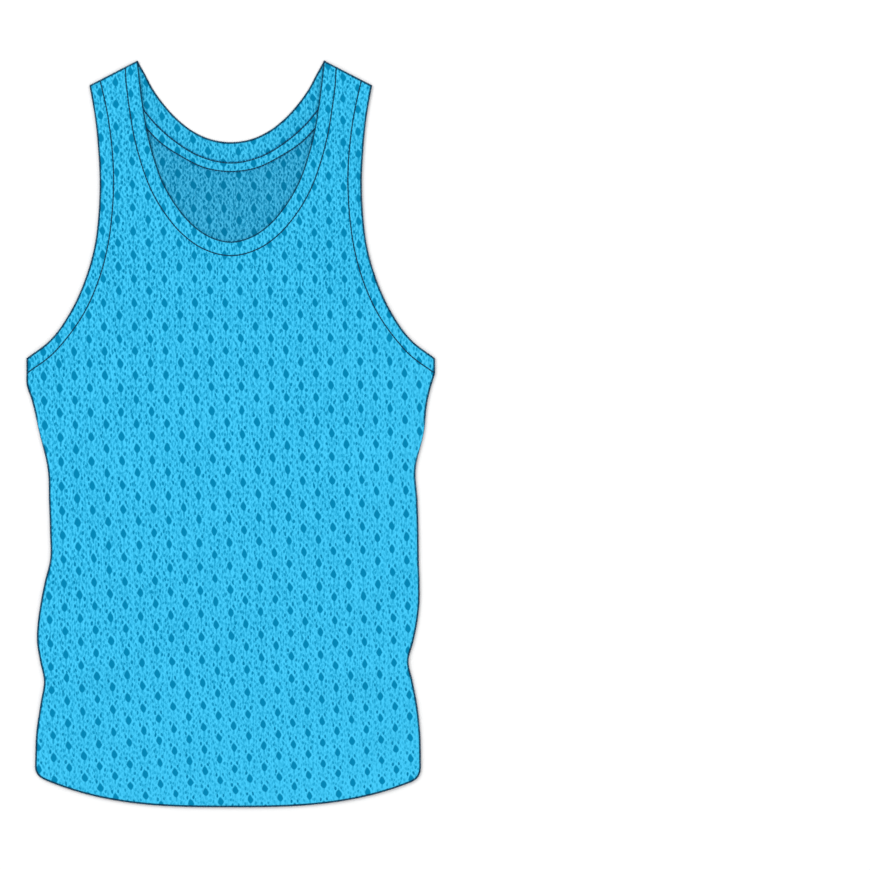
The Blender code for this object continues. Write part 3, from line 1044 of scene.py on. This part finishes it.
def knit_rims():
    """The rims of all eyelets and pinholes of the net, as rings of plan points.

    A ring is (points, sunk points), the rim and the edge of the thin knit inside it.
    """
    tree = rim_tree()
    places = [(c, r) for c in COLUMNS for r in ROWS if (c + r) % 2 == 0]
    kinds = [(0.0, 0.0, EYELET_SIZES)]
    for spot in PINHOLES:
        oval = (spot.half_width, spot.half_length, spot.half_length, 2.0, spot.lean)
        sizes = dict(zip(EYELET_SIZES, (*oval, PINHOLE_FLOOR, PINHOLE_POINTS)))
        kinds.append((spot.across, spot.down, sizes))
    rings = []
    for across, down, sizes in kinds:
        # On the flat net the columns and rows are evenly spaced, and +Y is up.
        dots = [(c * COLUMN_PITCH + across, -r * ROW_PITCH - down, 0.0) for c, r in places]
        mesh = bpy.data.meshes.new("net_places")
        mesh.from_pydata(dots, [], [])
        rims = grown("knit_rims", mesh, tree, sizes, None)
        co = np.empty(len(rims.vertices) * 3)
        rims.vertices.foreach_get("co", co)
        co = co.reshape(-1, 3)
        sunk = np.empty(len(co))
        rims.attributes["sunk"].data.foreach_get("value", sunk)
        plan = np.stack(net_to_plan(co[:, 0] / COLUMN_PITCH, -co[:, 1] / ROW_PITCH), axis=1)
        outer, inner = (
            plan[(sunk > 0.5) == is_sunk].reshape(-1, sizes["Rim Points"], 2)
            for is_sunk in (False, True)
        )
        rings += list(zip(outer, inner))
        bpy.data.meshes.remove(rims)
    return rings


def rings_inside(rings, outline, room):
    """The rings that lie wholly inside the outline, with room to spare."""
    if not rings:
        return []
    rims = np.concatenate([rim for rim, _ in rings])
    starts = np.cumsum([0] + [len(rim) for rim, _ in rings])
    fits = inside(rims, outline)
    fits[fits] = distance_to(rims[fits], outline) > room
    return [ring for ring, a, b in zip(rings, starts, starts[1:]) if fits[a:b].all()]


def spread_triangles(name, border, rings):
    """Triangles that fill the border and follow the rings.

    Gives the plan points, the border's first, then how far each is sunk, and the triangles.
    """
    loops = [border] + [part for ring in rings for part in ring]
    sunk = [np.zeros(len(border))]
    for rim, thin in rings:
        sunk += [np.zeros(len(rim)), np.full(len(thin), DIMPLE)]
    edges = []
    start = len(border)
    for loop in loops[1:]:
        edges += [(start + i, start + (i + 1) % len(loop)) for i in range(len(loop))]
        start += len(loop)
    plan = np.concatenate(loops)
    points = [Vector(point) for point in plan]
    only_inside = 1
    found = delaunay_2d_cdt(points, edges, [list(range(len(border)))], only_inside, SAME_POINT)
    if len(found[0]) != len(plan):
        raise ValueError(name + ": two edges of the cloth's plan cross")
    triangles = np.array(found[2])

    # The upper face is seen from above with the drop pointing down the page.
    a, b, c = (plan[triangles[:, k]] for k in range(3))
    turned = (b - a)[:, 0] * (c - a)[:, 1] - (b - a)[:, 1] * (c - a)[:, 0] > 0
    triangles[turned] = triangles[turned][:, ::-1]
    return plan, np.concatenate(sunk), triangles


def cloth_wall(name, points, floor, thickness, crown, rings, materials):
    """A closed wall of cloth inside an outline, with rounded edges and dimpled eyelets.

    floor gives the height of the underside for plan points. The first material is for the
    upper face and the last for the lower one.
    """
    outline = as_array(points)
    radius = thickness / 2
    steps = inward_steps(outline)
    inner = outline + steps * radius
    kept = rings_inside(rings, outline, radius + RIM_ROOM)
    plan, sunk, triangles = spread_triangles(name, inner, kept)
    count, rim_count = len(plan), len(inner)

    low = floor(plan)
    away = np.minimum(distance_to(plan, inner) / BAND_SHOULDER, 1.0)
    full = thickness + crown * np.sin(away * math.pi / 2)
    layers = [(plan, low + full - sunk), (plan, low + sunk)]
    for angle in EDGE_ANGLES:
        round_plan = inner - steps * radius * math.sin(angle)
        round_height = low[:rim_count] + radius * (1.0 + math.cos(angle))
        layers.append((round_plan, round_height))
    flat, height = (np.concatenate(parts) for parts in zip(*layers))

    # Rows of points from the upper face round the edge to the lower face.
    rim = np.arange(rim_count)
    rows = [2 * count + k * rim_count + rim for k in range(len(EDGE_ANGLES))]
    rows = [rim, *rows, count + rim]
    quads = []
    for upper, lower in zip(rows, rows[1:]):
        quad = np.stack([upper, lower, np.roll(lower, -1), np.roll(upper, -1)], axis=1)
        quads.append(quad if enclosed_area(outline) < 0 else quad[:, ::-1])
    quads = np.concatenate(quads)
    faces = triangles.tolist() + (triangles[:, ::-1] + count).tolist() + quads.tolist()

    mesh = bpy.data.meshes.new(name)
    mesh.from_pydata(in_space(flat, height).tolist(), [], faces)
    for material in materials:
        mesh.materials.append(material)
    slots = np.zeros(len(faces), np.int32)
    slots[len(triangles) :] = len(materials) - 1
    mesh.polygons.foreach_set("material_index", slots)
    corners = np.empty(len(mesh.loops), np.int32)
    mesh.loops.foreach_get("vertex_index", corners)
    places = np.stack(plan_to_net(flat[:, 0], flat[:, 1]), axis=1)
    net = mesh.uv_layers.new(name="net")
    net.uv.foreach_set("vector", places[corners].ravel())
    mesh.shade_smooth()
    return bib_piece(name, mesh)


def sheet(name, node, slot, points, cut, wall, rings, materials, rests_on, with_pieces=()):
    """A piece of cloth inside an outline, in place of a node.

    cut, the width and length that it was cut to, is not used, and wall is its floor, thickness
    and crown.
    """
    piece = cloth_wall(name, points, *wall, rings, materials)
    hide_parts(node)
    return piece


def panel(name, node, neck_seam, floor, *others):
    points = panel_outline(neck_seam)
    cut = np.ptp(as_array(points), axis=0)
    return sheet(name, node, "mesh_cloth", points, cut, (floor, CLOTH, 0.0), *others)


def strip(name, node, slot, curves, *others):
    """A band or tape between two curves."""
    edge, seam = curves
    width = max((a.xy - b.xy).length for a, b in zip(edge, seam))
    length = max(np.hypot(*np.diff(as_array(curve), axis=0).T).sum() for curve in curves)
    return sheet(name, node, slot, band_outline(edge, seam), (width, length), *others)


# ---- thread ----


def path_mesh(name, points, heights, outward=None):
    """An open line of edges through plan points, with the outward direction of each."""
    mesh = bpy.data.meshes.new(name)
    place = in_space(as_array(points), heights)
    mesh.from_pydata(place.tolist(), [(i, i + 1) for i in range(len(place) - 1)], [])
    if outward is not None:
        directions = mesh.attributes.new("outward", "FLOAT_VECTOR", "POINT")
        directions.data.foreach_set("vector", outward.ravel())
    return mesh


def outward_of(points, turn):
    """The outward direction at each point of an open edge. turn is 1 or -1, for its side."""
    plan = as_array(points)
    run = np.gradient(plan, axis=0)
    run /= np.hypot(*run.T)[:, None]
    return np.stack([run[:, 1], run[:, 0], np.zeros(len(run))], axis=1) * (turn, turn, 0.0)


def thread_piece(mesh, tree, sizes, thread):
    """The thread that a tree makes along a path. sizes are in millimetres."""
    name = mesh.name
    sizes = {size: value * MM for size, value in sizes.items()}
    return bib_piece(name, grown(name, mesh, tree, sizes, thread))


def seam_stitches(name, points, heights, tree, thread):
    sizes = {
        "Pitch": STITCH_PITCH,
        "Half Length": STITCH / 2,
        "Half Width": STITCH_HALF_WIDTH,
        "Half Height": STITCH_HALF_HEIGHT,
    }
    return thread_piece(path_mesh(name, points, heights), tree, sizes, thread)


def edge_loops(name, points, turn, low, high, reach, tree, thread):
    """Thread that binds an edge from the height low to the height high, arrays or numbers."""
    middle = (low + high) / 2 + np.zeros(len(points))
    sizes = {
        "Pitch": LOOP_PITCH,
        "Reach": reach,
        "Proud": LOOP_PROUD,
        "Half Height": float(np.mean(high - low)) / 2 + LOOP_CLEAR,
        "Thread Radius": LOOP_RADIUS,
    }
    mesh = path_mesh(name, points, middle, outward_of(points, turn))
    return thread_piece(mesh, tree, sizes, thread)


# ---- number ----

# The two figures, as across from the number's first edge and up from its foot, in
# millimetres. Each row of STROKES is a stretch of outline, smooth from end to end.
NUMBER_EDGE = 75.7  # x of the first figure's outer edge, read from behind
NUMBER_FOOT_DROP = 375.5
NUMBER_FILM = 0.18  # thickness of the printed film
NUMBER_FLOOR = 0.06
ONE_STROKES = (
    ((0.0, 0.0), (38.7, 0.0)),
    ((38.7, 0.0), (38.7, 160.7)),
    ((38.7, 160.7), (0.3, 144.5)),
    ((0.3, 144.5), (3.3, 141.2), (5.7, 136.5), (7.4, 129.5), (8.0, 121.0)),
    ((8.0, 121.0), (8.0, 24.0)),
    ((8.0, 24.0), (7.6, 17.5), (6.2, 12.0), (3.7, 6.2), (0.0, 0.0)),
)
TWO_STROKES = (
    ((57.5, 0.0), (150.3, 0.0)),
    ((150.3, 0.0), (161.7, 26.5)),
    ((161.7, 26.5), (100.3, 26.5)),
    (
        (100.3, 26.5), (111.8, 36.5), (124.9, 48.5), (136.0, 60.5), (145.4, 73.0),
        (152.3, 86.0), (157.0, 100.5), (158.5, 111.5), (157.8, 121.0), (154.6, 133.0),
        (148.0, 144.0), (139.5, 152.2), (128.0, 158.6), (113.5, 162.0), (98.5, 162.7),
        (83.5, 161.6), (63.2, 156.8),
    ),
    ((63.2, 156.8), (63.2, 128.7)),
    (
        (63.2, 128.7), (73.0, 132.2), (84.5, 134.4), (96.0, 135.2), (107.5, 134.0),
        (117.0, 130.2), (123.6, 123.0), (126.5, 111.5), (125.4, 101.0), (120.9, 90.5),
        (112.8, 78.5), (102.5, 67.0), (90.5, 54.5), (71.9, 36.5), (57.5, 22.8),
    ),
    ((57.5, 22.8), (57.5, 0.0)),
)


def figure_outline(strokes):
    outline = []
    for stroke in strokes:
        rows = [(NUMBER_EDGE - across, NUMBER_FOOT_DROP - up, 0.0) for across, up in stroke]
        outline += [point.xy for point in smooth_path(rows)[:-1]]
    return outline


# ---- the bib ----

SIDES_OF_BIB = (("left", 1), ("right", -1))


def side_seam(side):
    return [Vector((side * UNDERARM_HALF, UNDERARM_DROP))] + side_edge(side)


def shoulder_seam(side):
    neck = Vector((side * NECK_HALF, 0.0))
    tip = Vector((side * SHOULDER_TIP_HALF, SHOULDER_TIP_DROP))
    count = round((tip - neck).length / EDGE_STEP)
    return [neck.lerp(tip, i / count) for i in range(count + 1)]


def bound_edges(thread):
    """Thread round every free edge, and round both layers at the side and shoulder seams."""
    tree = loop_tree()
    threads = {"front": [], "back": [], "both": []}
    for side_name, side in SIDES_OF_BIB:
        for seam_name, path in (("side", side_seam(side)), ("shoulder", shoulder_seam(side))):
            name = f"{seam_name}_seam_thread_{side_name}"
            high = front_floor(as_array(path)) + CLOTH
            made = edge_loops(name, path, side, THREAD_ROOM, high, LOOP_REACH, tree, thread)
            threads["both"].append(made)
    layers = (
        ("front", front_floor, FRONT_NECK, NECK_LOOP_REACH),
        ("back", back_floor, BACK_NECK, LOOP_REACH),
    )
    for layer, floor, neck, neck_reach in layers:
        edges = [("neck_edge_thread", across_centre(neck), -1, neck_reach)]
        edges.append(("hem_thread", hem_edge(), -1, LOOP_REACH))
        for side_name, side in SIDES_OF_BIB:
            name = "armhole_edge_thread_" + side_name
            edges.append((name, armhole_edge(side), side, LOOP_REACH))
        for edge_name, path, turn, reach in edges:
            low = floor(as_array(path))
            name = f"{layer}_{edge_name}"
            made = edge_loops(name, path, turn, low, low + CLOTH, reach, tree, thread)
            threads[layer].append(made)
    return threads


def sewn_seams(thread):
    """Stitches along the seams of the bands and along both edges of the tape."""
    tree = stitch_tree()
    half_gap = SEAM_GAP / 2
    rows = [
        ("front", "neck_seam_stitches", front_neck_seam(half_gap)),
        ("back", "neck_seam_stitches", back_neck_seam(half_gap)),
    ]
    for side_name, side in SIDES_OF_BIB:
        for layer in ("front", "back"):
            name = "armhole_seam_stitches_" + side_name
            rows.append((layer, name, armhole_seam(side, half_gap)))
    top, foot = tape_curves()
    for row_name, edge, other in (("top", top, foot), ("foot", foot, top)):
        pairs = zip(edge, other)
        line = [a.xy.lerp(b.xy, TAPE_STITCH_INSET / (a.xy - b.xy).length) for a, b in pairs]
        rows.append(("back_neck_tape", row_name + "_stitches", line))
    stitches = {"front": [], "back": [], "back_neck_tape": []}
    faces = {
        "front": (front_floor, CLOTH - STITCH_SINK),
        "back": (back_floor, STITCH_SINK),
        "back_neck_tape": (tape_floor, TAPE - STITCH_SINK),
    }
    for layer, row_name, line in rows:
        line = line[1:-1]  # the end stitches stay inside the cloth
        floor, rise = faces[layer]
        height = floor(as_array(line)) + rise
        made = seam_stitches(f"{layer}_{row_name}", line, height, tree, thread)
        stitches[layer].append(made)
    return stitches


def printed_number():
    """Two figures of black film, through which the knit prints faintly."""
    film = speckled_material("number_print", NUMBER_FINISH)
    figures = (("number_one", ONE_STROKES), ("number_two", TWO_STROKES))
    floor = level(NUMBER_FLOOR)
    return [
        cloth_wall(name, figure_outline(strokes), floor, NUMBER_FILM, 0.0, [], [film])
        for name, strokes in figures
    ]


def build_bib():
    knit = knit_group()
    cloths = {
        "mesh_cloth": (PLAIN_TONE, 1.0, MESH_RELIEF),
        "mesh_cloth_inside_shaded": (INSIDE_SHADE_TONE, INSIDE_GRAIN, MESH_RELIEF),
        "band_cloth": (PLAIN_TONE, 1.0, BAND_RELIEF),
        "band_cloth_inside": (BACK_BAND_TONE, BACK_BAND_GRAIN, BAND_RELIEF),
        "tape_cloth": (BACK_BAND_TONE, 1.0, TAPE_RELIEF),
    }
    cloths = {name: cloth_material(name, knit, *look) for name, look in cloths.items()}
    mesh_cloth, bands = cloths["mesh_cloth"], [cloths["band_cloth"]]
    thread = speckled_material("dark_thread", THREAD_FINISH)
    rings = knit_rims()

    loops = bound_edges(thread)
    stitches = sewn_seams(thread)
    number = printed_number()

    more = number + loops["back"] + stitches["back"]
    # The back's upper face, seen through the front's neck, is darkened by painted shade and its
    # duller wrong side.
    faces = [cloths["mesh_cloth_inside_shaded"], mesh_cloth]
    seam = back_neck_seam(SEAM_GAP)
    back = panel("back_cloth", "back_panel", seam, back_floor, rings, faces, [], more)
    more = loops["front"] + loops["both"] + stitches["front"]
    seam = front_neck_seam(SEAM_GAP)
    panel("front_cloth", "front_panel", seam, front_floor, rings, [mesh_cloth], [back], more)

    name = "back_neck_binding"
    curves = back_neck_curves()
    wall = (back_floor, CLOTH, BAND_CROWN)
    cloth = cloths["band_cloth_inside"]
    strip(name, "back_neck_band", "band_cloth", curves, wall, rings, [cloth], [])
    name = "back_neck_tape_strip"
    curves = tape_curves()
    wall = (tape_floor, TAPE, 0.0)
    cloth = cloths["tape_cloth"]
    more = stitches["back_neck_tape"]
    strip(name, "back_neck_tape", "tape_cloth", curves, wall, rings, [cloth], [back], more)
    name = "front_neck_binding"
    curves = across_centre(FRONT_NECK), front_neck_seam()
    crowned = (front_floor, CLOTH, BAND_CROWN)
    strip(name, "front_neck_band", "band_cloth", curves, crowned, rings, bands, [back])
    plain = (back_floor, CLOTH, 0.0)
    for side_name, side in SIDES_OF_BIB:
        curves = armhole_edge(side), armhole_seam(side)
        below = []
        for layer, wall in (("back", plain), ("front", crowned)):
            name = f"armhole_binding_{layer}_{side_name}"
            node = f"armhole_band_{layer}_{side_name}"
            below = [strip(name, node, "band_cloth", curves, wall, rings, bands, below)]


# ---- floor, light and camera ----

# In metres. The view is 0.87 wide because one picture point is 1 mm.
FLOOR_SIZE = 12.0
FLOOR_DROP = 0.0002
VIEW_WIDTH = 0.87
VIEW_CENTRE = (0.20425, -0.001)
CAMERA_HEIGHT = 2.0
SKY = 0.96
KEY_PLACE = Vector((-2.2, 1.8, 3.4))
KEY_SIZE = 2.0
KEY_POWER = 45.0


def lay_floor():
    values = {
        "Base Color": PALE_FLOOR,
        "Roughness": FLOOR_ROUGHNESS,
        "Specular IOR Level": FLOOR_SHINE,
    }
    mesh = bpy.data.meshes.new("floor")
    half = FLOOR_SIZE / 2
    signs = ((-1, -1), (1, -1), (1, 1), (-1, 1))
    corners = [(x * half, y * half, -FLOOR_DROP) for x, y in signs]
    mesh.from_pydata(corners, [], [(0, 1, 2, 3)])
    mesh.materials.append(new_material("pale_floor", values)[0])
    show("floor", mesh)


def light_studio():
    world = bpy.data.worlds.new("studio")
    world.use_nodes = True
    sky = world.node_tree.nodes["Background"]
    sky.inputs["Color"].default_value = (1.0, 1.0, 1.0, 1.0)
    sky.inputs["Strength"].default_value = SKY
    bpy.context.scene.world = world
    key = bpy.data.lights.new("key_light", "AREA")
    key.shape = "DISK"
    key.size = KEY_SIZE
    key.energy = KEY_POWER
    lamp = show("key_light", key)
    lamp.location = KEY_PLACE
    lamp.rotation_euler = (-KEY_PLACE).to_track_quat("-Z", "Y").to_euler()


def set_camera():
    """Straight above the bib, with as much room on its left side as the photograph has."""
    lens = bpy.data.cameras.new("camera")
    lens.type = "ORTHO"
    lens.ortho_scale = VIEW_WIDTH
    camera = show("camera", lens)
    camera.location = (*VIEW_CENTRE, CAMERA_HEIGHT)
    bpy.context.scene.camera = camera
    bpy.context.scene.view_settings.view_transform = "Standard"


set_camera()
build_bib()
lay_floor()
light_studio()
